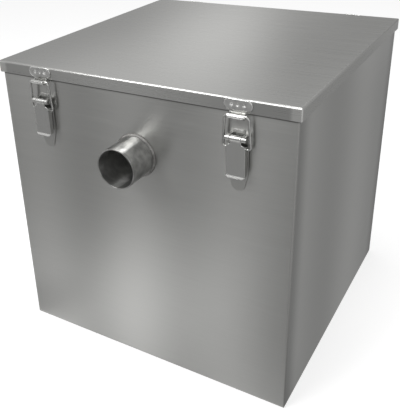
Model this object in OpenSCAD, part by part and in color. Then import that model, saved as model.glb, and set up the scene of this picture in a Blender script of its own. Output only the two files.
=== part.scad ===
// Grease trap: a folded stainless tank with a gasketed lid that four toggle latches hold down.
// The origin is on the floor under the middle of the tank. The inlet faces -Y and the outlet +Y.

/* [Tank] */
// Width of the tank, side to side
tank_w = 400; // [340:1:520]
// Depth of the tank, inlet face to outlet face
tank_d = 400; // [360:1:520]
// Height of the tank to the top of its rim
tank_h = 396; // [370:1:480]
// Thickness of the stainless sheet
sheet_t = 1.5; // [1:0.1:2]
// Outside radius of the tank's folded edges
fold_r = 3; // [2.6:0.1:6]
// Depth of the edges folded back round the front and rear panels
panel_return = 14; // [10:1:30]
// Width of the flat rim that the gasket sits on
rim_w = 20; // [18:1:30]
// Height of the rim's leg against the wall
rim_leg = 12; // [6:1:24]

/* [Lid] */
// Gap between the lid's skirt and the tank wall
skirt_gap = 1.5; // [0.8:0.1:2.5]
// Height of the lid's skirt
skirt_h = 15; // [14:0.5:20]
// Outside radius of the lid's folded edges
lid_fold_r = 2.4; // [2.2:0.1:4]
// Thickness of the gasket
gasket_t = 4.5; // [3:0.1:6]
// Width of the gasket
gasket_w = 14; // [8:0.5:14]
// Distance from the tank's inner wall to the gasket
gasket_inset = 3; // [2:0.5:4]

/* [Pipes] */
// Outside diameter of the inlet and outlet pipes
pipe_d = 50.8; // [40:0.1:64]
// Wall thickness of the pipes
pipe_wall = 1.5; // [1:0.1:3]
// Length of pipe outside the tank
pipe_out = 43; // [30:1:80]
// Length of pipe inside the tank
pipe_in = 6; // [3:1:12]
// Height of the inlet's centre line
inlet_z = 308; // [270:1:325]
// How much lower the outlet lies
outlet_drop = 25; // [0:1:50]
// Leg of the weld bead round each pipe
weld_leg = 2.5; // [1.5:0.1:4]

/* [Strainer basket] */
// Height of the basket
basket_h = 150; // [100:1:200]
// Thickness of the basket's sheet
basket_t = 1; // [0.8:0.1:1.5]
// Gap between the inlet pipe and the basket's rim below it
basket_drop = 8; // [7:1:20]
// Diameter of the strainer holes
hole_d = 8; // [4:0.5:10]
// Spacing of the strainer holes
hole_pitch = 20; // [16:1:30]
// Width of the rails that carry the basket
rail_w = 12; // [8:1:18]
// Diameter of the handle's wire
handle_d = 5; // [4:0.1:6]
// Depth of the handle's pivot below the basket's rim
handle_pivot = 12; // [10:1:18]

/* [Baffles] */
// Depth of the inlet chamber
inlet_chamber = 130; // [115:1:150]
// Depth of the outlet chamber
outlet_chamber = 90; // [60:1:110]
// Height of the gap under the inlet baffle
inlet_baffle_lift = 70; // [40:1:100]
// Height of the gap under the outlet baffle
outlet_baffle_lift = 55; // [40:1:100]
// Distance from the rim down to the baffles' top edge
baffle_drop = 45; // [25:1:80]
// Depth of the guide channels
guide_depth = 12; // [8:1:16]
// Width of the finger slot in each baffle
finger_slot_w = 90; // [70:1:130]
// Height of the finger slot in each baffle
finger_slot_h = 25; // [20:1:30]

/* [Latches] */
// Distance of each latch from the middle of the face
latch_x = 134; // [60:1:145]
// Thickness of the latch's pressed sheet
latch_t = 1.2; // [1:0.1:1.4]
// Width of the strike plate
strike_w = 33; // [28:0.5:40]
// Height of the strike plate
strike_h = 13; // [12:0.5:14]
// Extra thickness at the middle of the strike's bowed face
strike_crown = 0.7; // [0.3:0.1:0.9]
// Width of the strike's hook
hook_w = 19; // [16:0.5:24]
// Inside width of the hook
hook_gap = 6.6; // [6.4:0.1:7.5]
// Height of the hook's lip above the middle of the bail's bar
hook_lip = 1; // [0.5:0.1:1.5]
// Diameter of the bail's wire
bail_d = 2.8; // [2:0.1:3]
// Width of the bail over its lower ends
bail_w = 35; // [34:0.5:42]
// How far each of the bail's legs leans in towards the hook, in degrees
bail_spread = 3.5; // [0:0.5:4]
// Height of the bail from its ends to its bar
bail_h = 37.2; // [34:0.1:42]
// Depth of the bail's bar below the lid's skirt
bar_drop = 2.8; // [2:0.1:5]
// Distance of the lever's pivot from the tank wall
pivot_out = 7.6; // [7.2:0.1:8.5]
// How far the bail's ends lie below the lever's pivot
crank_drop = 11.5; // [10.5:0.1:13]
// How far the bail's ends lie behind the lever's pivot, which locks the latch
over_centre = 2; // [1.5:0.1:2.4]
// Diameter of the pivot pin
pin_d = 4.6; // [2.5:0.1:5]
// Width of the lever
lever_w = 23; // [22:0.5:25]
// Length of the lever below its pivot
lever_len = 46; // [38:0.5:60]
// Width of the lever's tongue, which is rolled round the pin
tongue_w = 13; // [10:0.5:14]
// Length of the base plate below the lever
base_tail = 19; // [14:0.5:28]

/* [Hidden] */
$fn = 48;

// Clearances
pipe_fit = 0.15;       // round a pipe in its panel
slide_fit = 0.5;       // each side of a baffle in its guides
basket_play = 3;       // round the basket
pin_fit = 0.05;        // round a pivot pin, on the radius
wire_fit = 0.06;       // round a wire in its hole, on the radius
handle_rest = 0.3;     // under the handle where it lies on the basket's rim
bar_back = 1.55;       // behind the bail's bar in the hook
bar_seat = 0.6;        // under the bail's bar in the hook
bar_spare = 0.3;       // straight bar past each side of the hook
ear_gap = 0.35;        // between the lever's tongue and the base's ears
bend_clear = 0.3;      // between a wire's bend and the sheet it passes through
bend_thin = 0.03;      // by which a wire's radius draws in where it is bent
bend_lap = 0.25;       // by which its full radius runs on into a bend
lip_gap = 2;           // between the basket's lip and the tank wall
cut = 1;               // how far a cut runs past the faces it opens

// Tank
inner_w = tank_w - 2 * sheet_t;
inner_d = tank_d - 2 * sheet_t;
lid_top = tank_h + gasket_t + sheet_t;
skirt_out = skirt_gap + sheet_t;
skirt_z = lid_top - skirt_h;
gasket_corner_r = 2;   // inside corners of the gasket
outlet_z = inlet_z - outlet_drop;

// Baffles, by the middle of their thickness
inlet_baffle_y = -inner_d / 2 + inlet_chamber + sheet_t / 2;
outlet_baffle_y = inner_d / 2 - outlet_chamber - sheet_t / 2;
baffle_top = tank_h - baffle_drop;
baffle_w = inner_w - 2 * (sheet_t + slide_fit);
guide_gap = sheet_t + 2 * slide_fit;
finger_slot_edge = 12; // from the baffle's top edge to the slot

// Basket
basket_top = inlet_z - pipe_d / 2 - basket_drop;
basket_w = inner_w - 2 * (rail_w + basket_play);
basket_front = -inner_d / 2 + basket_play;
basket_rear = inlet_baffle_y - guide_gap / 2 - sheet_t - basket_play;
basket_d = basket_rear - basket_front;
basket_y = (basket_front + basket_rear) / 2;
basket_fold_r = 2.5;
basket_lip = basket_play + rail_w - lip_gap; // reach of the lip that rests on the rail
rail_leg = 14;
hole_margin = 14;      // plain border round the strainer holes
hole_top_margin = 30;  // plain border under the basket's rim

// Handle
handle_r = handle_d / 2;
handle_z = basket_top - handle_pivot;
handle_side_gap = 2;   // between the handle's leg and the basket's wall
handle_tip = 2;        // reach of the handle's ends past the basket's wall
handle_leg_x = basket_w / 2 - basket_t - handle_side_gap - handle_r;
handle_end_x = basket_w / 2 + handle_tip;
handle_run = basket_rear - basket_t / 2 - basket_y;
handle_rise = handle_pivot + handle_rest + handle_r;
handle_reach = norm([handle_run, handle_rise]);
handle_tilt = atan2(handle_rise, handle_run);
handle_foot_bend = handle_side_gap + handle_r - bend_clear;
handle_bend = 9;

// Latch, seen from the side: distance from the tank wall, then height
bail_r = bail_d / 2;
bar = [skirt_out + latch_t + bar_back + bail_r, skirt_z - bar_drop];
bail_end = [pivot_out - over_centre, bar[1] - bail_h];
pivot = [pivot_out, bail_end[1] + crank_drop];
bail_reach = norm(bar - bail_end);
bail_lean = atan2(bar[0] - bail_end[0], bar[1] - bail_end[1]);
bail_foot_bend = 3;
bail_foot_x = bail_w / 2 - bail_r;
bail_top_x = bail_foot_x - bail_reach * tan(bail_spread);
bail_top_bend = (bail_top_x - hook_w / 2 - bar_spare) / tan((90 - bail_spread) / 2);
bail_tip = 1;          // reach of the bail's ends past the lever's flanges
bail_tip_x = lever_w / 2 - latch_t - bail_tip;
knuckle_r = pin_d / 2 + pin_fit + latch_t;
barrel_proud = 1.4;    // how far the barrel stands out past the lever's face
web_out = pivot[0] + knuckle_r - barrel_proud;
web_in = web_out - latch_t;
lever_end = pivot[1] - lever_len;
shoulder_drop = 6.5;   // from the pivot down to the lever's full width
shoulder = pivot[1] - shoulder_drop;
lever_corner_r = 4;
finger_lip = 3;        // height of the turned-out lip at the lever's end
finger_out = 1.5;      // how far that lip turns out
flange_r = 3.2;        // round the bail's end in the lever's flange
flange_foot = 4;       // depth of the flange at the lever's end
ear_w = 4.5;
base_w = tongue_w + 2 * (ear_gap + ear_w);
base_end = lever_end - base_tail;
tail_w = 17;           // width of the base at its half-round end
crest_w = 14;          // tab of the base above the barrel
crest_h = 4.5;
crest_r = 2;
pin_head_out = 0.8;    // reach of the pin's head past the pin, all round
pin_head_r = pin_d / 2 + pin_head_out;
pin_head_t = 0.8;
hook_r = 2.2;          // inside the hook's bends
strike_inset = 0.4;    // from the lid's top down to the strike's edge
strike_z = lid_top - strike_inset - strike_h / 2;
bow_r = (pow(strike_w / 2, 2) + pow(strike_crown, 2)) / (2 * strike_crown);
dimple_r = 3;          // of the round tool that leaves a spot weld's dimple
dimple_depth = 0.7;
dimple_step = 7.5;     // spacing of the strike's dimples

CORNERS = [
    // name, turn of the face about Z, side of that face
    ["front_left", 0, -1],
    ["front_right", 0, 1],
    ["rear_left", 180, 1],
    ["rear_right", 180, -1],
];
LATCH_PIECES = ["strike", "latch_base", "latch_pin", "latch_lever", "latch_bail"];
SIDES = [["left", -1], ["right", 1]];
BAFFLES = [
    // name, place along Y, gap under it
    ["inlet", inlet_baffle_y, inlet_baffle_lift],
    ["outlet", outlet_baffle_y, outlet_baffle_lift],
];

// Flat rectangle with round corners
module rounded(w, h, r) {
    square([w - 2 * r, h], center = true);
    square([w, h - 2 * r], center = true);
    for (x = [-1, 1], y = [-1, 1])
        translate([x * (w / 2 - r), y * (h / 2 - r)]) circle(r);
}

// Flat strip with half-round ends
module round_ended(w, h) {
    square([w - h, h], center = true);
    for (x = [-1, 1]) translate([x * (w - h) / 2, 0]) circle(d = h);
}

// Box with round upright and bottom edges, standing on z = 0
module folded_box(w, d, h, r) {
    intersection() {
        linear_extrude(h) rounded(w, d, r);
        rotate([90, 0, 0]) linear_extrude(d, center = true) translate([0, h]) rounded(w, 2 * h, r);
        rotate([90, 0, 90]) linear_extrude(w, center = true) translate([0, h]) rounded(d, 2 * h, r);
    }
}

// Open tray of bent sheet, standing on z = 0
module folded_pan(w, d, h, t, r) {
    difference() {
        folded_box(w, d, h, r);
        translate([0, 0, t]) folded_box(w - 2 * t, d - 2 * t, h, r - t);
    }
}

// Extrudes a side profile, drawn as distance from the wall and height, across the width w
module across(w) {
    rotate([0, 0, -90]) rotate([90, 0, 0]) linear_extrude(w, center = true) children();
}

// Extrudes an outline, drawn as it is seen on the wall, out from the wall by t
module off_wall(t) {
    rotate([90, 0, 0]) linear_extrude(t) children();
}

// Cylinder across the latch at a point of its side view
module cross_bore(at, r, w) {
    translate([0, -at[0], at[1]]) rotate([0, 90, 0]) cylinder(r = r, h = w, center = true);
}

// Round wire along +X that runs straight and turns in turn, in the XY plane
module wire_run(straights, turns, radii, r, i = 0) {
    from = i > 0 ? -bend_lap : 0;
    to = straights[i] + (i < len(turns) ? bend_lap : 0);
    translate([from, 0, 0]) rotate([0, 90, 0]) cylinder(r = r, h = to - from);
    if (i < len(turns)) translate([straights[i], 0, 0]) {
        side = sign(turns[i]);
        angle = abs(turns[i]);
        translate([0, side * radii[i], 0]) rotate([0, 0, side > 0 ? -90 : 90 - angle])
            rotate_extrude(angle = angle) translate([radii[i], 0]) circle(r - bend_thin);
        translate([radii[i] * sin(angle), side * radii[i] * (1 - cos(angle)), 0]) rotate([0, 0, turns[i]])
            wire_run(straights, turns, radii, r, i + 1);
    }
}

// Round wire through the corners given, each bent to its own radius, starting along +X
module bent_wire(corners, radii, r) {
    last = len(corners) - 1;
    run = [for (i = [1:last]) corners[i] - corners[i - 1]];
    turns = [for (i = [1:last - 1]) atan2(cross(run[i - 1], run[i]), run[i - 1] * run[i])];
    bends = [for (i = [0:last - 2]) radii[i] * tan(abs(turns[i]) / 2)];
    trim = concat(0, bends, 0); // length that each bend takes from the straights beside it
    straights = [for (i = [0:last - 1]) norm(run[i]) - trim[i] - trim[i + 1]];
    translate([corners[0][0], corners[0][1], 0]) wire_run(straights, turns, radii, r);
}

// Puts a latch piece on its corner of the tank
module at_corner(c) {
    rotate([0, 0, c[1]]) translate([c[2] * latch_x, -tank_d / 2, 0]) children();
}

// Tank

module tank_pan() {
    folded_pan(tank_w, tank_d, tank_h, sheet_t, fold_r);
}

// Sides and floor, folded from one sheet, between the two end panels
module tank_body() {
    depth = tank_d - 2 * panel_return;
    color("Silver") intersection() {
        tank_pan();
        cube([2 * tank_w, depth, 3 * tank_h], center = true);
    }
}

// End panel with its pipe hole and folded edges, at the -Y end
module end_panel(hole_z) {
    difference() {
        intersection() {
            tank_pan();
            translate([0, -tank_d / 2, 0]) cube([2 * tank_w, 2 * panel_return, 3 * tank_h], center = true);
        }
        translate([0, -tank_d / 2, hole_z]) rotate([90, 0, 0])
            cylinder(r = pipe_d / 2 + pipe_fit, h = 4 * sheet_t, center = true);
    }
}

module tank_front() {
    color("Silver") end_panel(inlet_z);
}

module tank_rear() {
    color("Silver") rotate([0, 0, 180]) end_panel(outlet_z);
}

// Angle frame inside the mouth, flush with the top of the walls
module tank_rim() {
    leg_r = fold_r + sheet_t;
    color("Silver") translate([0, 0, tank_h]) mirror([0, 0, 1]) {
        linear_extrude(sheet_t) difference() {
            rounded(inner_w, inner_d, leg_r);
            square([inner_w - 2 * rim_w, inner_d - 2 * rim_w], center = true);
        }
        linear_extrude(rim_leg) difference() {
            rounded(inner_w, inner_d, leg_r);
            rounded(inner_w - 2 * sheet_t, inner_d - 2 * sheet_t, leg_r - sheet_t);
        }
    }
}

// Lid

module lid() {
    color("Gainsboro") translate([0, 0, lid_top]) mirror([0, 0, 1])
        folded_pan(tank_w + 2 * skirt_out, tank_d + 2 * skirt_out, skirt_h, sheet_t, lid_fold_r);
}

module lid_gasket() {
    outer_w = inner_w - 2 * gasket_inset;
    outer_d = inner_d - 2 * gasket_inset;
    corner_r = gasket_w + gasket_corner_r;
    color("DimGray") translate([0, 0, tank_h]) linear_extrude(gasket_t) difference() {
        rounded(outer_w, outer_d, corner_r);
        rounded(outer_w - 2 * gasket_w, outer_d - 2 * gasket_w, corner_r - gasket_w);
    }
}

// Pipes

// Pipe along Z, through a panel whose outer face is at z = 0, with its weld bead
module pipe_stub() {
    r = pipe_d / 2;
    rotate_extrude() {
        translate([r - pipe_wall, -sheet_t - pipe_in]) square([pipe_wall, pipe_out + sheet_t + pipe_in]);
        intersection() {
            translate([r, 0]) circle(weld_leg);
            translate([r - pipe_wall / 2, 0]) square(2 * weld_leg + pipe_wall);
        }
    }
}

module inlet_pipe() {
    color("LightGray") translate([0, -tank_d / 2, inlet_z]) rotate([90, 0, 0]) pipe_stub();
}

module outlet_pipe() {
    color("LightGray") translate([0, tank_d / 2, outlet_z]) rotate([-90, 0, 0]) pipe_stub();
}

// Strainer basket

// Grid of strainer holes that fits a plain rectangle, round its middle
module hole_grid(w, h) {
    across_n = floor((w - hole_d) / hole_pitch);
    up_n = floor((h - hole_d) / hole_pitch);
    for (i = [0:across_n], j = [0:up_n])
        translate([(i - across_n / 2) * hole_pitch, (j - up_n / 2) * hole_pitch]) circle(d = hole_d);
}

module basket() {
    wall_h = basket_h - hole_margin - hole_top_margin;
    wall_z = hole_margin + wall_h / 2;
    color("LightSteelBlue") translate([0, basket_y, basket_top - basket_h]) difference() {
        union() {
            folded_pan(basket_w, basket_d, basket_h, basket_t, basket_fold_r);
            for (s = SIDES)
                translate([s[1] * (basket_w / 2 + basket_lip / 2 - basket_t / 2), 0, basket_h - basket_t / 2])
                    cube([basket_lip + basket_t, basket_d - 2 * basket_fold_r, basket_t], center = true);
        }
        linear_extrude(3 * basket_t, center = true)
            hole_grid(basket_w - 2 * hole_margin, basket_d - 2 * hole_margin);
        translate([0, 0, wall_z]) rotate([90, 0, 0]) linear_extrude(basket_d + 2 * cut, center = true)
            hole_grid(basket_w - 2 * hole_margin, wall_h);
        translate([0, 0, wall_z]) rotate([90, 0, 90]) linear_extrude(basket_w + 2 * cut, center = true)
            hole_grid(basket_d - 2 * hole_margin, wall_h);
        translate([0, 0, basket_h - handle_pivot]) rotate([0, 90, 0])
            cylinder(r = handle_r + wire_fit, h = basket_w + 2 * cut, center = true);
    }
}

// Wire handle, lying on the basket's rear rim
module basket_handle() {
    color("Gray") translate([0, basket_y, handle_z]) rotate([handle_tilt, 0, 0])
        bent_wire([
            [-handle_end_x, 0],
            [-handle_leg_x, 0],
            [-handle_leg_x, handle_reach],
            [handle_leg_x, handle_reach],
            [handle_leg_x, 0],
            [handle_end_x, 0],
        ], [handle_foot_bend, handle_bend, handle_bend, handle_foot_bend], handle_r);
}

// Angle on a side wall, under the basket's lip
module basket_rail(side) {
    rail_top = basket_top - basket_t;
    color("Silver") mirror([side < 0 ? 1 : 0, 0, 0])
        translate([inner_w / 2, basket_front, rail_top]) rotate([-90, 0, 0]) linear_extrude(basket_d) {
            translate([-rail_w, 0]) square([rail_w, sheet_t]);
            translate([-sheet_t, 0]) square([sheet_t, rail_leg]);
        }
}

// Baffles

// Plate that drops into its guides, with a slot to lift it by
module baffle(b) {
    height = baffle_top - b[2];
    color("LightGray") translate([0, b[1] + sheet_t / 2, b[2]]) off_wall(sheet_t) difference() {
        translate([-baffle_w / 2, 0]) square([baffle_w, height]);
        translate([0, height - finger_slot_edge - finger_slot_h / 2])
            round_ended(finger_slot_w, finger_slot_h);
    }
}

// Channel on a side wall, closed at its foot, that a baffle stands in
module baffle_guide(b, side) {
    outer = guide_gap + 2 * sheet_t;
    color("Silver") mirror([side < 0 ? 1 : 0, 0, 0])
        translate([inner_w / 2 - guide_depth, b[1] - outer / 2, b[2] - sheet_t]) {
            linear_extrude(baffle_top - b[2] + sheet_t) difference() {
                square([guide_depth, outer]);
                translate([-sheet_t, sheet_t]) square([guide_depth, guide_gap]);
            }
            cube([guide_depth, outer, sheet_t]);
        }
}

// Toggle latch

// Dimple of a spot weld in a face that lies out from the wall by the given distance
module dimple(x, z, out) {
    translate([x, -out - dimple_r + dimple_depth, z]) sphere(dimple_r);
}

// Hook seen from the side: the strip down the skirt, the trough and its lip
module hook_profile() {
    back = skirt_out + latch_t;
    middle = back + hook_gap / 2;
    floor_z = bar[1] - bail_r - bar_seat;
    lip_z = bar[1] + hook_lip;
    tall = 2 * (strike_z - floor_z);
    translate([middle, floor_z]) difference() {
        translate([0, tall - latch_t]) rounded(hook_gap + 2 * latch_t, 2 * tall, hook_r + latch_t);
        translate([0, tall]) rounded(hook_gap, 2 * tall, hook_r);
        translate([0, lip_z - floor_z]) square(2 * tall);
        translate([-tall, strike_z - floor_z]) square(2 * tall);
    }
    translate([back + hook_gap + latch_t / 2, lip_z]) circle(d = latch_t);
}

// Bowed plate on the lid's skirt, with the hook that the bail pulls on
module strike() {
    crown_out = skirt_out + latch_t + strike_crown;
    color("WhiteSmoke") {
        difference() {
            intersection() {
                translate([0, -skirt_out, strike_z]) off_wall(crown_out - skirt_out)
                    round_ended(strike_w, strike_h);
                translate([0, bow_r - crown_out, strike_z])
                    cylinder(r = bow_r, h = 2 * strike_h, center = true, $fn = 256);
            }
            for (x = [-dimple_step, 0, dimple_step])
                dimple(x, strike_z, crown_out - bow_r + sqrt(pow(bow_r, 2) - pow(x, 2)));
        }
        across(hook_w) hook_profile();
    }
}

// Plate on the tank wall with two ears rolled round the pin
module latch_base() {
    barrel_top = pivot[1] + knuckle_r;
    round_z = base_end + tail_w / 2;
    ear_x = tongue_w / 2 + ear_gap + ear_w / 2;
    color("Gainsboro") difference() {
        union() {
            off_wall(latch_t) {
                polygon([
                    [-base_w / 2, barrel_top],
                    [base_w / 2, barrel_top],
                    [base_w / 2, lever_end],
                    [tail_w / 2, round_z],
                    [-tail_w / 2, round_z],
                    [-base_w / 2, lever_end],
                ]);
                translate([0, round_z]) circle(d = tail_w);
                translate([0, barrel_top]) rounded(crest_w, 2 * crest_h, crest_r);
            }
            for (s = SIDES) translate([s[1] * ear_x, 0, 0]) across(ear_w) {
                translate(pivot) circle(knuckle_r);
                translate([0, barrel_top - latch_t]) square([pivot[0], latch_t]);
            }
        }
        cross_bore(pivot, pin_d / 2 + pin_fit, 2 * base_w);
        dimple(0, (shoulder + lever_end) / 2, latch_t);
    }
}

// Pin through the barrel, headed at both ends
module latch_pin() {
    color("LightGray") {
        cross_bore(pivot, pin_d / 2, base_w + 2 * pin_head_t);
        for (s = SIDES) translate([s[1] * (base_w + pin_head_t) / 2, 0, 0])
            cross_bore(pivot, pin_head_r, pin_head_t);
    }
}

// Channel lever: web, tongue rolled round the pin, and two flanges that take the bail's ends
module latch_lever() {
    color("WhiteSmoke") difference() {
        union() {
            intersection() {
                across(lever_w) {
                    translate(pivot) circle(knuckle_r);
                    polygon([
                        [web_in, pivot[1]],
                        [web_out, pivot[1]],
                        [web_out, lever_end + finger_lip],
                        [web_out + finger_out, lever_end],
                        [web_in + finger_out, lever_end],
                        [web_in, lever_end + finger_lip],
                    ]);
                }
                off_wall(2 * web_out) {
                    translate([0, (shoulder + lever_end) / 2])
                        rounded(lever_w, shoulder - lever_end, lever_corner_r);
                    translate([-tongue_w / 2, shoulder - lever_corner_r])
                        square([tongue_w, shoulder_drop + lever_corner_r + 2 * knuckle_r]);
                }
            }
            for (s = SIDES) translate([s[1] * (lever_w - latch_t) / 2, 0, 0]) across(latch_t) {
                translate(bail_end) circle(flange_r);
                polygon([
                    [web_in, shoulder - lever_corner_r],
                    [bail_end[0], bail_end[1] + flange_r],
                    [bail_end[0] - flange_r, bail_end[1]],
                    [web_in - flange_foot, lever_end + finger_lip],
                    [web_in, lever_end + finger_lip],
                ]);
            }
        }
        cross_bore(pivot, pin_d / 2 + pin_fit, 2 * lever_w);
        cross_bore(bail_end, bail_r + wire_fit, 2 * lever_w);
    }
}

// Wire loop from the lever's flanges up into the hook
module latch_bail() {
    color("WhiteSmoke") translate([0, -bail_end[0], bail_end[1]]) rotate([90 + bail_lean, 0, 0])
        bent_wire([
            [bail_tip_x, 0],
            [bail_foot_x, 0],
            [bail_top_x, bail_reach],
            [-bail_top_x, bail_reach],
            [-bail_foot_x, 0],
            [-bail_tip_x, 0],
        ], [bail_foot_bend, bail_top_bend, bail_top_bend, bail_foot_bend], bail_r);
}

tank_body();
tank_front();
tank_rear();
tank_rim();
lid();
lid_gasket();
inlet_pipe();
outlet_pipe();
basket();
basket_handle();
for (s = SIDES)
    basket_rail(s[1]);
for (b = BAFFLES) {
    baffle(b);
    for (s = SIDES)
        baffle_guide(b, s[1]);
}
for (c = CORNERS) {
    at_corner(c) strike();
    at_corner(c) latch_base();
    at_corner(c) latch_pin();
    at_corner(c) latch_lever();
    at_corner(c) latch_bail();
}
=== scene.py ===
"""Dresses the grease trap in brushed steel, lays its weld beads, then sets up its studio and camera."""
import logging
import math
import random
from dataclasses import dataclass
from enum import Enum

import bpy
from mathutils import Matrix, Vector


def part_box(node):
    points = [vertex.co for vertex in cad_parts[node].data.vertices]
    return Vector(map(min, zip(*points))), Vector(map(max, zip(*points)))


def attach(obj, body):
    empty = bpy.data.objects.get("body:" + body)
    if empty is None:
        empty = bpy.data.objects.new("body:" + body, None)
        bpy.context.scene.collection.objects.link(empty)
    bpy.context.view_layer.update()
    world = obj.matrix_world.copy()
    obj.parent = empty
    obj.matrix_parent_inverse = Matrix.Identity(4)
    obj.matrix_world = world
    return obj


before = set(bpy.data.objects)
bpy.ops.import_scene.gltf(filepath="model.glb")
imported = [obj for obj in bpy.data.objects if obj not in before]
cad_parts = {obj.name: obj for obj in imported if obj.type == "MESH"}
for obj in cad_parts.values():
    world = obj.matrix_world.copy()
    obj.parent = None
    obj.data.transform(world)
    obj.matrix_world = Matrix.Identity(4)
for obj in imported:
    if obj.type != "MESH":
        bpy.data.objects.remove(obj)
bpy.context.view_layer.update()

LOG = logging.getLogger("grease_trap")
MM = 0.001
CORNERS = ("front_left", "front_right", "rear_left", "rear_right")
SIDES = ("left", "right")
ENDS = ("inlet", "outlet")
WHITE = "#FFFFFF"

# Sockets of the colour kind of Blender's Mix node
MIX_A = 6
MIX_B = 7
MIX_OUT = 2
# Lowest and highest value that Blender's noise gives almost everywhere, for lines and for softer blotches
LINE_SPAN = (0.25, 0.75)
BLOTCH_SPAN = (0.3, 0.7)
# How much finer detail Blender's noise adds to the lines, the blotches and the sheet's buckles
LINE_DETAIL = {"Detail": 3.0, "Roughness": 0.6}
BLOTCH_DETAIL = 2.0
BUCKLE_DETAIL = 1.0
# How far the painted bands of reflected light wander, as the Wave node takes it
BAND_WANDER = {"Distortion": 1.2, "Detail": 1.0, "Detail Scale": 0.6}
# The Wave node repeats twenty times in a full circle's length, so this turns a width into its scale
WAVE_PERIOD = 2 * math.pi / 20
# Quarter of a turn, as the shader counts its smear's rotation
QUARTER_TURN = 0.25
# A grain along X, tipped a little so that it still has a way across the skirts at the lid's sides
ACROSS_GRAIN = (1.0, 0.0, 0.02)
# Rays that the Bevel node sends out to find an edge
EDGE_SAMPLES = 6
# A card's plane runs from -1 to 1 in its own coordinates, as its round fade needs
CARD_SPAN = 2.0


def linear(hex_colour: str) -> tuple[float, float, float, float]:
    """Turns an sRGB hex colour into the linear colour that shaders take.

    Args:
        hex_colour: a hash sign and six hex digits.
    Returns:
        Linear red, green and blue, and an alpha of one.
    """
    shares = [int(hex_colour[at:at + 2], 16) / 255 for at in (1, 3, 5)]
    red, green, blue = (s / 12.92 if s <= 0.04045 else ((s + 0.055) / 1.055) ** 2.4 for s in shares)
    return red, green, blue, 1.0


def scaled(colour: tuple[float, float, float, float], by: float) -> tuple[float, float, float, float]:
    """Makes a linear colour lighter or darker.

    Args:
        colour: the linear colour.
        by: what its red, green and blue are multiplied by.
    Returns:
        The new colour, none of it above one.
    """
    return min(colour[0] * by, 1.0), min(colour[1] * by, 1.0), min(colour[2] * by, 1.0), 1.0


def add(tree: bpy.types.NodeTree, kind: str, links: dict | None = None, **settings: object) -> bpy.types.Node:
    """Adds a shader node with its settings, values and links.

    Args:
        tree: the node tree of a material or world.
        kind: the node's type, without its ShaderNode prefix.
        links: for each input, by name or number, the socket that feeds it or its plain value.
        settings: the node's own options.
    Returns:
        The new node.
    """
    node = tree.nodes.new("ShaderNode" + kind)
    for name, value in settings.items():
        setattr(node, name, value)
    for name, source in (links or {}).items():
        if isinstance(source, bpy.types.NodeSocket):
            tree.links.new(source, node.inputs[name])
        else:
            node.inputs[name].default_value = source
    return node


def shaded(tree: bpy.types.NodeTree, colour: bpy.types.NodeSocket, pattern: bpy.types.NodeSocket | float,
           shares: tuple[float, float], span: tuple[float, float] = (0.0, 1.0)) -> bpy.types.NodeSocket:
    """Makes a colour lighter or darker by a pattern.

    Args:
        tree: the material's tree.
        colour: the colour to change.
        pattern: where it changes.
        shares: what the colour is multiplied by where the pattern is lowest and highest.
        span: the pattern's lowest and highest value.
    Returns:
        The changed colour.
    """
    share = add(tree, "MapRange", {"Value": pattern, "From Min": span[0], "From Max": span[1],
                                   "To Min": shares[0], "To Max": shares[1]})
    toned = add(tree, "VectorMath", {0: colour, 1: share.outputs["Result"]}, operation="MULTIPLY")
    return toned.outputs["Vector"]


def new_material(name: str) -> tuple[bpy.types.Material, bpy.types.NodeTree]:
    """Makes a material with an empty node tree.

    Args:
        name: the material's name.
    Returns:
        The material and its tree.
    """
    material = bpy.data.materials.new(name)
    material.use_nodes = True
    material.node_tree.nodes.clear()
    return material, material.node_tree


def dress(node: str, material: bpy.types.Material) -> None:
    """Gives a CAD node its finish.

    Args:
        node: the node's name.
        material: the finish for all of its slots.
    """
    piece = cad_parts[node]
    if not piece.material_slots:
        piece.data.materials.append(material)
    for slot in piece.material_slots:
        slot.material = material
    LOG.info("%s: %s", node, material.name)


class Grain(Enum):
    """Which way a steel surface was brushed."""

    LEVEL = "level lines round upright walls"
    ACROSS = "side to side over the lid and its front and rear skirts"
    TURNED = "round a tube that points along Y"
    NONE = "no lines, as rolled or tumbled"


@dataclass(frozen=True)
class Patch:
    """Painted shade or highlight on part of a surface, the same on both sides and both ends.

    Attributes:
        share: its tone beside the rest.
        ramps: for each axis that bounds it, the distance from the middle, or along Z the height, in mm,
            at which it begins to show and that at which it shows fully.
    """

    share: float
    ramps: tuple[tuple[str, float, float], ...]

    def tint(self, tree: bpy.types.NodeTree, place: bpy.types.Node,
             colour: bpy.types.NodeSocket) -> bpy.types.NodeSocket:
        """Multiplies a colour by the patch.

        Args:
            tree: the material's tree.
            place: its Texture Coordinate node.
            colour: the colour outside the patch.
        Returns:
            The colour with the patch.
        """
        folded = add(tree, "VectorMath", {0: place.outputs["Object"]}, operation="ABSOLUTE")
        parts = add(tree, "SeparateXYZ", {0: folded.outputs["Vector"]})
        inside: bpy.types.NodeSocket | float = 1.0
        for axis, begins, full in self.ramps:
            step = add(tree, "MapRange", {"Value": parts.outputs[axis], "From Min": begins * MM,
                                          "From Max": full * MM}, interpolation_type="SMOOTHSTEP")
            joined = add(tree, "Math", {0: step.outputs["Result"], 1: inside}, operation="MULTIPLY")
            inside = joined.outputs[0]
        return shaded(tree, colour, inside, (1.0, self.share))


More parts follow.
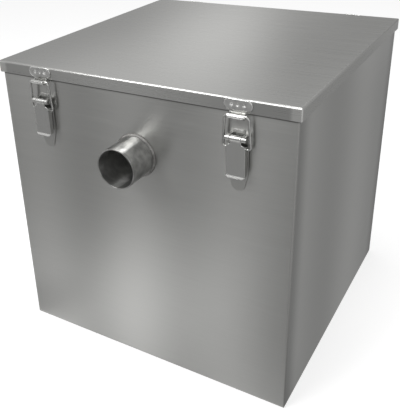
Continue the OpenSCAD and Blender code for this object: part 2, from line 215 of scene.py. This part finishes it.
@dataclass(frozen=True)
class SteelFinish:
    """Stainless steel and how its surface was worked.

    Attributes:
        name: the material's name.
        colour: sRGB hex of what the steel sends back.
        edge_tint: sRGB hex of its reflection at a grazing angle, beside that of an ideal metal.
        roughness: mean roughness.
        roughness_play: how far the roughness strays to either side.
        anisotropy: how much wider reflections smear across the lines than along them.
        grain: the way of the lines.
        line_mm: width of a brushed line. The real ones are about 0.2 mm and too fine to show,
            so they are drawn as coarse as a pixel needs.
        line_length_mm: length of a brushed line.
        line_depth_mm: depth of a line in the bump.
        streak: share by which lines lighten or darken the steel.
        wave_mm: height of the sheet's soft buckles.
        wave_width_mm: width of one buckle.
        wave_height_mm: length of one buckle up the wall.
        bands: broad painted bands of reflected light and shade: for each axis that they cross, their width in
            mm,
        their phase in radians and the share by which they lighten or darken the sheet.
        mottle: share by which soft blotches lighten or darken the steel.
        mottle_mm: width of a blotch.
        patches: places with painted shade or highlight, lighter or darker as a whole.
        edge_mm: radius of the rubbed sheet edges, or none where they are as drawn.
    """

    name: str
    colour: str
    edge_tint: str = "#C8C8C8"
    roughness: float = 0.3
    roughness_play: float = 0.03
    anisotropy: float = 0.0
    grain: Grain = Grain.NONE
    line_mm: float = 1.3
    line_length_mm: float = 110.0
    line_depth_mm: float = 0.004
    streak: float = 0.05
    wave_mm: float = 0.0
    wave_width_mm: float = 110.0
    wave_height_mm: float = 600.0
    bands: tuple[tuple[str, float, float, float], ...] = ()
    mottle: float = 0.0
    mottle_mm: float = 12.0
    patches: tuple[Patch, ...] = ()
    edge_mm: float = 0.0

    def line_scale(self) -> tuple[float, float, float]:
        """Turns the size of the lines into the pattern's scale.

        Returns:
            Its repeats in a metre along X, Y and Z.
        """
        fine = 1 / (self.line_mm * MM)
        long = 1 / (self.line_length_mm * MM)
        return {
            Grain.LEVEL: (long, long, fine),
            Grain.ACROSS: (long, fine, fine),
            Grain.TURNED: (long, fine, long),
            Grain.NONE: (fine, fine, fine),
        }[self.grain]

    def tangent(self, tree: bpy.types.NodeTree, place: bpy.types.Node) -> dict[str, object]:
        """Turns the smear of reflections square to the lines.

        Args:
            tree: the material's tree.
            place: its Texture Coordinate node.
        Returns:
            Links for the shader's tangent and its rotation, or none where there are no lines.
        """
        if self.grain in (Grain.LEVEL, Grain.TURNED):
            axis = "Z" if self.grain is Grain.LEVEL else "Y"
            round_axis = add(tree, "Tangent", direction_type="RADIAL", axis=axis)
            return {"Tangent": round_axis.outputs["Tangent"], "Anisotropic Rotation": QUARTER_TURN}
        if self.grain is Grain.ACROSS:
            square = add(tree, "VectorMath", {0: place.outputs["Normal"], 1: ACROSS_GRAIN},
                         operation="CROSS_PRODUCT")
            return {"Tangent": square.outputs["Vector"]}
        return {}

    def tone(self, tree: bpy.types.NodeTree, place: bpy.types.Node,
             lines: bpy.types.NodeSocket) -> bpy.types.NodeSocket:
        """Mixes the steel's colour from its lines, painted bands of reflected light, blotches, and patches of
        painted shade and highlight.

        Args:
            tree: the material's tree.
            place: its Texture Coordinate node.
            lines: the pattern of the lines, from 0 to 1.
        Returns:
            The colour.
        """
        steel = linear(self.colour)
        mixed = add(tree, "Mix", {0: lines, MIX_A: scaled(steel, 1 - self.streak),
                                  MIX_B: scaled(steel, 1 + self.streak)}, data_type="RGBA")
        colour = mixed.outputs[MIX_OUT]
        # Painted bands of reflected light and shade
        for axis, width_mm, phase, play in self.bands:
            wave = add(tree, "TexWave", {"Vector": place.outputs["Object"], "Phase Offset": phase,
                                         "Scale": WAVE_PERIOD / (width_mm * MM), **BAND_WANDER},
                       bands_direction=axis)
            colour = shaded(tree, colour, wave.outputs["Fac"], (1 - play, 1 + play))
        if self.mottle:
            blotches = add(tree, "TexNoise", {"Vector": place.outputs["Object"], "Detail": BLOTCH_DETAIL,
                                              "Scale": 1 / (self.mottle_mm * MM)})
            shares = (1 - self.mottle, 1 + self.mottle)
            colour = shaded(tree, colour, blotches.outputs[0], shares, BLOTCH_SPAN)
        # Painted shade and highlights
        for patch in self.patches:
            colour = patch.tint(tree, place, colour)
        return colour

    def material(self) -> bpy.types.Material:
        """Builds the finish.

        Returns:
            Its material.
        """
        material, tree = new_material(self.name)
        place = add(tree, "TexCoord")
        brushed = add(tree, "Mapping", {"Vector": place.outputs["Object"], "Scale": self.line_scale()})
        lines = add(tree, "TexNoise", {"Vector": brushed.outputs["Vector"], "Scale": 1.0, **LINE_DETAIL})
        worn = add(tree, "MapRange", {"Value": lines.outputs[0], "From Min": LINE_SPAN[0],
                                      "From Max": LINE_SPAN[1],
                                      "To Min": self.roughness - self.roughness_play,
                                      "To Max": self.roughness + self.roughness_play})
        links = {"Base Color": self.tone(tree, place, lines.outputs[0]), "Metallic": 1.0,
                 "Roughness": worn.outputs["Result"], "Specular Tint": linear(self.edge_tint),
                 "Anisotropic": self.anisotropy}
        links.update(self.tangent(tree, place))
        under: dict[str, bpy.types.NodeSocket] = {}
        if self.edge_mm:
            rubbed = add(tree, "Bevel", {"Radius": self.edge_mm * MM}, samples=EDGE_SAMPLES)
            under = {"Normal": rubbed.outputs["Normal"]}
        if self.wave_mm:
            wide = 1 / (self.wave_width_mm * MM)
            tall = 1 / (self.wave_height_mm * MM)
            rolled = add(tree, "Mapping", {"Vector": place.outputs["Object"], "Scale": (wide, wide, tall)})
            waves = add(tree, "TexNoise", {"Vector": rolled.outputs["Vector"], "Scale": 1.0,
                                           "Detail": BUCKLE_DETAIL})
            buckled = add(tree, "Bump", {"Height": waves.outputs[0], "Strength": 1.0,
                                         "Distance": self.wave_mm * MM, **under})
            under = {"Normal": buckled.outputs["Normal"]}
        scratched = add(tree, "Bump", {"Height": lines.outputs[0], "Strength": 1.0,
                                       "Distance": self.line_depth_mm * MM, **under})
        links["Normal"] = scratched.outputs["Normal"]
        skin = add(tree, "BsdfPrincipled", links)
        add(tree, "OutputMaterial", {"Surface": skin.outputs["BSDF"]})
        return material


@dataclass(frozen=True)
class RubberFinish:
    """Black rubber, moulded: matt, with a faint grey bloom.

    Attributes:
        name: the material's name.
        colour: sRGB hex of the rubber.
        bloom: sRGB hex of its paler patches.
        roughness: how matt it is.
        patch_mm: width of a paler patch.
        patch_detail: how much finer detail the patches have.
        grain_mm: depth of the moulded grain.
        grain_share: how much of that depth shows.
    """

    name: str = "moulded_gasket_rubber"
    colour: str = "#1B1B1A"
    bloom: str = "#2E2E2C"
    roughness: float = 0.65
    patch_mm: float = 6.0
    patch_detail: float = 4.0
    grain_mm: float = 0.05
    grain_share: float = 0.3

    def material(self) -> bpy.types.Material:
        """Builds the finish.

        Returns:
            Its material.
        """
        material, tree = new_material(self.name)
        place = add(tree, "TexCoord")
        cloud = add(tree, "TexNoise", {"Vector": place.outputs["Object"], "Scale": 1 / (self.patch_mm * MM),
                                       "Detail": self.patch_detail})
        mixed = add(tree, "Mix", {0: cloud.outputs[0], MIX_A: linear(self.colour), MIX_B: linear(self.bloom)},
                    data_type="RGBA")
        grain = add(tree, "Bump", {"Height": cloud.outputs[0], "Strength": self.grain_share,
                                   "Distance": self.grain_mm * MM})
        skin = add(tree, "BsdfPrincipled", {"Base Color": mixed.outputs[MIX_OUT], "Roughness": self.roughness,
                                            "Normal": grain.outputs["Normal"]})
        add(tree, "OutputMaterial", {"Surface": skin.outputs["BSDF"]})
        return material


# Satin sheet, brushed level: painted upright bands of reflected light and fine level lines, painted shade
# under the skirt and on the sides by the front and rear folds
SATIN_WALL = SteelFinish(
    "satin_brushed_stainless_wall", "#A2A2A0", roughness=0.31, anisotropy=0.75, grain=Grain.LEVEL,
    line_depth_mm=0.0025, wave_mm=0.12,
    # Painted reflection: broad upright bands, lighter and darker across the front and the sides
    bands=(("X", 150.0, 3.5, 0.1), ("Y", 240.0, 1.95, 0.12)),
    # Painted shade: a dark line just under the lid's skirt, and the sides darker towards their front and rear
    # ends
    patches=(Patch(0.35, (("Z", 383.8, 385.2),)), Patch(0.58, (("X", 198.0, 199.5), ("Y", 160.0, 200.0)))))
# The same sheet on the lid, brushed side to side: one broad painted highlight band front to back, painted
# highlights on the skirt ends
SATIN_LID = SteelFinish(
    "satin_brushed_stainless_lid", "#A9A9A7", roughness=0.28, anisotropy=0.75, grain=Grain.ACROSS,
    roughness_play=0.015, line_depth_mm=0.001, streak=0.03, wave_mm=0.08, wave_height_mm=110.0,
    # Painted highlight: one broad band of light from front to back
    bands=(("X", 400.0, 3.38, 0.18),),
    # Painted highlights on the front and rear skirts' ends, by the lid's corners
    patches=(Patch(1.45, (("X", 189.0, 194.0), ("Y", 201.0, 202.5), ("Z", 401.0, 400.0))),))
# Drawn tube, sanded round and round: one bright band along it, faint turned lines and blotches of heat
SANDED_TUBE = SteelFinish(
    "sanded_stainless_tube", "#9E9E9C", roughness=0.3, roughness_play=0.03, anisotropy=1.0,
    grain=Grain.TURNED, line_mm=1.1, line_length_mm=40.0, streak=0.08, mottle=0.3, mottle_mm=11.0,
    edge_mm=0.5)
# Pressed and tumbled latch sheet: clean pale faces with crisp glints along its edges and bends
TUMBLED_LATCH = SteelFinish(
    "tumbled_stainless_latch", "#BCBCBA", roughness=0.25, roughness_play=0.004, line_mm=4.0,
    line_depth_mm=0.0005, streak=0.02, edge_mm=1.0)
# The latch's base, pressed from the wall's sheet and left dull: close to the wall in tone
DULL_BASE = SteelFinish(
    "pressed_stainless_base", "#A8A8A6", roughness=0.36, roughness_play=0.004, line_mm=4.0,
    line_depth_mm=0.0005, streak=0.02, edge_mm=1.0)
# The strike, pressed and spot-welded: its rounded rim glints, and the heat of the welds leaves blotches
WELDED_STRIKE = SteelFinish(
    "welded_stainless_strike", "#D0D0CE", roughness=0.16, roughness_play=0.004, line_mm=4.0,
    line_depth_mm=0.0005, streak=0.02, mottle=0.12, mottle_mm=6.0, edge_mm=2.2)
# Bright-drawn wire: mirrors its surroundings, so that it is light along its middle and dark along its sides
DRAWN_WIRE = SteelFinish(
    "bright_drawn_stainless_wire", "#B8B8B6", roughness=0.14, roughness_play=0.02, line_mm=1.5,
    line_depth_mm=0.0005, streak=0.03)
# Cold-rolled sheet as it leaves the mill: grey and even
MILL_SHEET = SteelFinish("cold_rolled_stainless_sheet", "#AAAAA8", roughness=0.34, line_mm=3.0, streak=0.04)
# Weld metal left as laid: dull and blotched, so that the bead is only a soft ring round the tube
WELD_METAL = SteelFinish(
    "laid_stainless_weld", "#868583", roughness=0.58, roughness_play=0.08, line_mm=1.6, streak=0.1,
    mottle=0.3, mottle_mm=9.0)


@dataclass
class Tank:
    """Folded tank of sides and floor, two end panels and the rim inside its mouth."""

    nodes: tuple[str, ...] = ("tank_body", "tank_front", "tank_rear", "tank_rim")

    def dress(self, finish: bpy.types.Material) -> None:
        """Gives every panel its finish.

        Args:
            finish: the satin sheet.
        """
        for node in self.nodes:
            dress(node, finish)


@dataclass
class Lid:
    """Folded lid and the gasket that it presses on the rim."""

    def dress(self, sheet: bpy.types.Material, rubber: bpy.types.Material) -> None:
        """Gives the lid and its gasket their finishes.

        Args:
            sheet: the lid's satin sheet.
            rubber: the gasket's rubber.
        """
        dress("lid", sheet)
        dress("lid_gasket", rubber)


@dataclass
class Pipe:
    """Pipe stub through an end panel, with the bead that welds it there.

    Attributes:
        end: inlet or outlet.
        panel: the node of the panel that it passes through.
        cad_leg_mm: leg of the plain bead on the pipe's node, which this one covers.
        bead_leg_mm: leg of the weld bead.
        bead_sides: number of sides of the circle that the bead's section is cut from.
        root_mm: how far the bead's root lies in the panel and the tube.
        ripple_mm: spacing of the bead's ripples.
        ripple_rings: number of rings in a ripple.
        ripple_height: share by which a ripple stands above the bead.
        ripple_spread: share of that by which it also spreads over the panel.
        runs: number of stretches, between stops of the torch, that differ in height.
        run_play: share by which those stretches differ.
        merge_mm: distance within which points of the spun bead are one.
    """

    end: str
    panel: str
    cad_leg_mm: float = 2.5
    bead_leg_mm: float = 2.65
    bead_sides: int = 28
    root_mm: float = 0.6
    ripple_mm: float = 1.7
    ripple_rings: int = 4
    ripple_height: float = 0.08
    ripple_spread: float = 0.04
    runs: int = 26
    run_play: float = 0.05
    merge_mm: float = 0.01

    def weld_bead(self, finish: bpy.types.Material) -> None:
        """Models the bead: a quarter-round section spun round the pipe, rippled ring by ring.

        Args:
            finish: the weld metal.
        """
        low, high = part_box(self.end + "_pipe")
        panel_low, panel_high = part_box(self.panel)
        outward = -1 if self.end == "inlet" else 1
        face_y = panel_low.y if outward < 0 else panel_high.y
        leg = self.bead_leg_mm * MM
        tube_r = (high.x - low.x) / 2 - self.cad_leg_mm * MM
        centre = Vector((0, face_y, (low.z + high.z) / 2))
        root = self.root_mm * MM
        rings = self.ripple_rings * round(2 * math.pi * tube_r / (self.ripple_mm * MM))

        bpy.ops.object.select_all(action="DESELECT")
        bpy.ops.mesh.primitive_circle_add(vertices=self.bead_sides, radius=leg, fill_type="NGON",
                                          location=centre + Vector((tube_r, 0, 0)))
        bead = bpy.context.object
        bead.name = bead.data.name = self.end + "_weld_bead"
        bpy.ops.object.transform_apply(location=True, rotation=True, scale=True)
        bpy.ops.object.mode_set(mode="EDIT")
        bpy.ops.mesh.select_all(action="SELECT")
        bpy.ops.mesh.bisect(plane_co=(tube_r - root, 0, 0), plane_no=(-1, 0, 0), clear_outer=True)
        bpy.ops.mesh.select_all(action="SELECT")
        bpy.ops.mesh.bisect(plane_co=(0, face_y - outward * root, 0), plane_no=(0, -outward, 0),
                            clear_outer=True)
        bpy.ops.mesh.select_all(action="SELECT")
        bpy.ops.mesh.delete(type="ONLY_FACE")
        bpy.ops.mesh.select_all(action="SELECT")
        bpy.ops.mesh.spin(steps=rings, angle=2 * math.pi, center=centre, axis=(0, 1, 0))
        bpy.ops.mesh.select_all(action="SELECT")
        bpy.ops.mesh.remove_doubles(threshold=self.merge_mm * MM)
        bpy.ops.mesh.normals_make_consistent(inside=False)
        self.ripple(bead, centre, rings)
        bpy.ops.object.mode_set(mode="OBJECT")
        bpy.ops.object.shade_smooth()
        bead.data.materials.append(finish)
        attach(bead, "tank")
        LOG.info("%s: %d rings", bead.name, rings)

    def ripple(self, bead: bpy.types.Object, centre: Vector, rings: int) -> None:
        """Raises the bead's ripples, and makes its runs uneven.

        Args:
            bead: the bead, in edit mode.
            centre: where the pipe's axis meets the panel.
            rings: number of rings round the bead.
        """
        chance = random.Random(self.end)
        steps = self.ripple_rings
        turn = 2 * math.pi / rings
        height = [1 + self.ripple_height * (step / (steps - 1)) for step in range(steps)]
        runs = [1 + chance.uniform(-self.run_play, self.run_play) for _ in range(self.runs)]
        for run, run_height in enumerate(runs):
            for step in range(steps):
                bpy.ops.mesh.select_all(action="DESELECT")
                bpy.ops.object.mode_set(mode="OBJECT")
                for vertex in bead.data.vertices:
                    angle = math.atan2(vertex.co.z - centre.z, vertex.co.x) % (2 * math.pi)
                    ring = round(angle / turn) % rings
                    vertex.select = ring % steps == step and ring * self.runs // rings == run
                bpy.ops.object.mode_set(mode="EDIT")
                swell = height[step] * run_height
                spread = 1 + (swell - 1) * self.ripple_spread
                bpy.ops.transform.resize(value=(spread, swell, spread), center_override=centre)

    def dress(self, tube: bpy.types.Material, weld: bpy.types.Material) -> None:
        """Gives the tube its finish and lays its bead.

        Args:
            tube: the tube's finish.
            weld: the bead's finish.
        """
        dress(self.end + "_pipe", tube)
        self.weld_bead(weld)


@dataclass
class Strainer:
    """Perforated basket, its wire handle and the rails that it hangs on."""

    def dress(self, sheet: bpy.types.Material, wire: bpy.types.Material) -> None:
        """Gives the sheet and wire pieces their finishes.

        Args:
            sheet: the finish of the basket and its rails.
            wire: the finish of its handle.
        """
        for node in ("basket", *("basket_rail_" + side for side in SIDES)):
            dress(node, sheet)
        dress("basket_handle", wire)


@dataclass
class Baffle:
    """Baffle plate and the two guide channels that it stands in.

    Attributes:
        end: inlet or outlet.
    """

    end: str

    def dress(self, sheet: bpy.types.Material) -> None:
        """Gives the plate and its guides their finish.

        Args:
            sheet: the mill sheet.
        """
        for node in (self.end + "_baffle", *(f"{self.end}_guide_{side}" for side in SIDES)):
            dress(node, sheet)


@dataclass
class Latch:
    """Toggle latch at one corner: strike, base, pin, lever and bail.

    Attributes:
        corner: which corner of the tank it holds.
    """

    corner: str

    def dress(self, finishes: dict[str, bpy.types.Material]) -> None:
        """Gives each piece its finish.

        Args:
            finishes: the finish of each kind of piece, by the first part of its node's name.
        """
        for piece, finish in finishes.items():
            dress(f"{piece}_{self.corner}", finish)


@dataclass(frozen=True)
class Card:
    """Oval card with a soft edge, that metal sees and the camera doesn't.

    Attributes:
        name: what it shades.
        centre: its middle, in metres.
        size: its width and height, in metres.
        facing: the azimuth that it faces, in degrees, or None where it lies on the floor.
        light: how bright it is beside the white surround.
        edge: share of its radius over which it fades out.
    """

    name: str
    centre: tuple[float, float, float]
    size: tuple[float, float]
    facing: float | None
    light: float
    edge: float = 0.4

    def build(self) -> None:
        """Stands the card up, or lays it down."""
        bpy.ops.object.select_all(action="DESELECT")
        bpy.ops.mesh.primitive_plane_add(size=CARD_SPAN, location=self.centre)
        card = bpy.context.object
        card.name = card.data.name = self.name
        card.scale = (self.size[0] / CARD_SPAN, self.size[1] / CARD_SPAN, 1.0)
        if self.facing is not None:
            card.rotation_euler = (math.radians(90), 0.0, math.radians(self.facing))
        material, tree = new_material(self.name)
        place = add(tree, "TexCoord")
        inward = add(tree, "TexGradient", {"Vector": place.outputs["Object"]}, gradient_type="SPHERICAL")
        there = add(tree, "MapRange", {"Value": inward.outputs["Fac"], "From Max": self.edge},
                    interpolation_type="SMOOTHSTEP")
        glow = add(tree, "Emission", {"Color": linear(WHITE), "Strength": self.light})
        gone = add(tree, "BsdfTransparent")
        both = add(tree, "MixShader", {0: there.outputs["Result"], 1: gone.outputs["BSDF"],
                                       2: glow.outputs["Emission"]})
        add(tree, "OutputMaterial", {"Surface": both.outputs["Shader"]})
        card.data.materials.append(material)
        card.visible_camera = False
        card.visible_diffuse = False
        card.visible_shadow = False


@dataclass(frozen=True)
class SoftBox:
    """Soft box aimed at the object.

    Attributes:
        name: the lamp's name.
        place: its middle, in metres.
        aim: the point that it faces.
        size: its width and height, in metres.
        watts: its power.
    """

    name: str
    place: tuple[float, float, float]
    aim: tuple[float, float, float]
    size: tuple[float, float]
    watts: float

    def build(self) -> None:
        """Hangs the lamp."""
        lamp = bpy.data.lights.new(self.name, "AREA")
        lamp.shape = "RECTANGLE"
        lamp.size, lamp.size_y = self.size
        lamp.energy = self.watts
        box = bpy.data.objects.new(self.name, lamp)
        bpy.context.scene.collection.objects.link(box)
        box.location = self.place
        way = Vector(self.aim) - Vector(self.place)
        box.rotation_euler = way.to_track_quat("-Z", "Y").to_euler()


@dataclass
class Studio:
    """White sweep, soft boxes, and white and grey cards for the steel to mirror.

    Attributes:
        floor_m: width of the floor.
        floor_colour: sRGB hex of the floor's paint.
        floor_glow: share of the floor's white that its own light gives, which softens the shadow.
        fill: strength of the surround as it lights matt things.
        lamps: the soft boxes.
        cards: the cards. The small ones in front lie on the large ones, a millimetre apart.
    """

    floor_m: float = 12.0
    floor_colour: str = "#B4B4B4"
    floor_glow: float = 0.75
    fill: float = 0.3
    lamps: tuple[SoftBox, ...] = (
        SoftBox("front_soft_box", (-0.7, -1.4, 1.7), (0.0, -0.3, 0.1), (1.0, 1.0), 25.0),
        SoftBox("top_soft_box", (0.0, 0.1, 1.9), (0.0, 0.1, 0.0), (0.5, 0.8), 14.0),
    )
    cards: tuple[Card, ...] = (
        Card("front_near_card", (0.0, -0.5, 0.001), (1.8, 1.0), None, 0.8, 0.5),
        Card("front_floor_card", (-0.2, -1.3, 0.002), (4.0, 2.2), None, 0.36),
        Card("front_standing_card", (-1.6, -2.6, 0.7), (4.4, 2.4), 30.0, 0.42),
        Card("front_white_card", (-0.09, -0.32, 0.003), (0.5, 0.5), None, 1.15, 0.9),
        Card("front_shade_card", (0.24, -0.42, 0.004), (0.5, 0.7), None, 0.4, 0.8),
        Card("left_shade_card", (-0.22, -0.235, 0.005), (0.22, 0.18), None, 0.6, 0.9),
        Card("right_floor_card", (0.9, 0.4, 0.002), (2.4, 3.0), None, 0.76),
        Card("right_standing_card", (0.9, 2.6, 0.6), (2.6, 2.2), -15.0, 0.76),
        Card("rear_standing_card", (-0.55, 3.0, 0.9), (1.9, 3.0), 10.0, 0.47),
        Card("rear_strip_card", (-0.75, 1.45, 0.95), (0.75, 1.8), 27.0, 1.4, 0.9),
    )

    @staticmethod
    def background_seen(tree: bpy.types.NodeTree) -> bpy.types.NodeSocket:
        """Marks the rays that show the background: the camera's, and those off or through a surface.

        Args:
            tree: the tree that asks.
        Returns:
            One for such a ray, zero for the rest.
        """
        path = add(tree, "LightPath")
        shiny = add(tree, "Math", {0: path.outputs["Is Glossy Ray"], 1: path.outputs["Is Transmission Ray"]},
                    operation="MAXIMUM")
        seen = add(tree, "Math", {0: path.outputs["Is Camera Ray"], 1: shiny.outputs[0]}, operation="MAXIMUM")
        return seen.outputs[0]

    def surround(self) -> None:
        """Makes the world white to the eye and in reflections, and a soft fill for matt things."""
        world = bpy.data.worlds.new("white_surround")
        world.use_nodes = True
        tree = world.node_tree
        tree.nodes.clear()
        level = add(tree, "MapRange", {"Value": self.background_seen(tree), "To Min": self.fill,
                                       "To Max": 1.0})
        sky = add(tree, "Background", {"Color": linear(WHITE), "Strength": level.outputs["Result"]})
        add(tree, "OutputWorld", {"Surface": sky.outputs["Background"]})
        bpy.context.scene.world = world

    def floor(self) -> None:
        """Lays the floor, which stays white and keeps the object's shadow."""
        bpy.ops.object.select_all(action="DESELECT")
        bpy.ops.mesh.primitive_plane_add(size=self.floor_m)
        floor = bpy.context.object
        floor.name = floor.data.name = "studio_floor"
        material, tree = new_material("white_painted_floor")
        paint = add(tree, "BsdfDiffuse", {"Color": linear(self.floor_colour)})
        level = add(tree, "Math", {0: self.background_seen(tree), 1: self.floor_glow}, operation="MULTIPLY")
        glow = add(tree, "Emission", {"Color": linear(WHITE), "Strength": level.outputs[0]})
        both = add(tree, "AddShader", {0: paint.outputs["BSDF"], 1: glow.outputs["Emission"]})
        add(tree, "OutputMaterial", {"Surface": both.outputs["Shader"]})
        floor.data.materials.append(material)

    def build(self) -> None:
        """Sets the studio up."""
        self.surround()
        self.floor()
        for item in (*self.lamps, *self.cards):
            item.build()


@dataclass(frozen=True)
class PhotoCamera:
    """Camera as the photograph was taken.

    Attributes:
        frame_px: width and height of the photograph.
        focal_px: focal length, in pixels of that frame.
        axis_px: where the lens's axis meets the frame, which was cropped off its middle.
        place_mm: where the lens stands.
        azimuth: the way back from the object to the camera, in degrees.
        elevation: its height above level, in degrees.
        roll: how far the camera leans, in degrees.
        sensor_mm: width of the sensor's long side.
        near_m: distance from which the camera sees things.
    """

    frame_px: tuple[int, int] = (400, 412)
    focal_px: float = 639.86
    axis_px: tuple[float, float] = (160.0, 155.0)
    place_mm: tuple[float, float, float] = (394.35, -770.69, 630.61)
    azimuth: float = 32.28
    elevation: float = 25.03
    roll: float = -2.5
    sensor_mm: float = 36.0
    near_m: float = 0.01

    def build(self) -> None:
        """Makes the scene's camera."""
        long_px = max(self.frame_px)
        data = bpy.data.cameras.new("photo_camera")
        data.sensor_width = self.sensor_mm
        data.lens = self.focal_px / long_px * self.sensor_mm
        data.shift_x = (self.frame_px[0] / 2 - self.axis_px[0]) / long_px
        data.shift_y = (self.axis_px[1] - self.frame_px[1] / 2) / long_px
        data.clip_start = self.near_m
        turn, lift = math.radians(self.azimuth), math.radians(self.elevation)
        back = Vector((math.sin(turn) * math.cos(lift), -math.cos(turn) * math.cos(lift), math.sin(lift)))
        level = Vector((0, 0, 1)).cross(back).normalized()
        upright = back.cross(level)
        axes = Matrix((level, upright, back)).transposed()
        camera = bpy.data.objects.new("photo_camera", data)
        bpy.context.scene.collection.objects.link(camera)
        lean = Matrix.Rotation(math.radians(self.roll), 3, "Z")
        camera.matrix_world = Matrix.Translation(Vector(self.place_mm) * MM) @ (axes @ lean).to_4x4()
        bpy.context.scene.camera = camera


def main() -> None:
    """Dresses the object's pieces in order, then sets up the camera and the studio."""
    logging.basicConfig(level=logging.INFO, format="%(name)s %(message)s")
    bpy.context.scene.view_settings.view_transform = "Standard"
    PhotoCamera().build()

    wall = SATIN_WALL.material()
    lid = SATIN_LID.material()
    tube = SANDED_TUBE.material()
    pressed = TUMBLED_LATCH.material()
    base = DULL_BASE.material()
    strike = WELDED_STRIKE.material()
    wire = DRAWN_WIRE.material()
    mill = MILL_SHEET.material()
    weld = WELD_METAL.material()
    rubber = RubberFinish().material()
    Tank().dress(wall)
    Lid().dress(lid, rubber)
    for end, panel in zip(ENDS, ("tank_front", "tank_rear")):
        Pipe(end, panel).dress(tube, weld)
    Strainer().dress(mill, wire)
    for end in ENDS:
        Baffle(end).dress(mill)
    latch_finishes = {
        "latch_base": base,
        "latch_lever": pressed,
        "latch_pin": wire,
        "latch_bail": wire,
        "strike": strike,
    }
    for corner in CORNERS:
        Latch(corner).dress(latch_finishes)
    Studio().build()


if __name__ == "__main__":
    main()
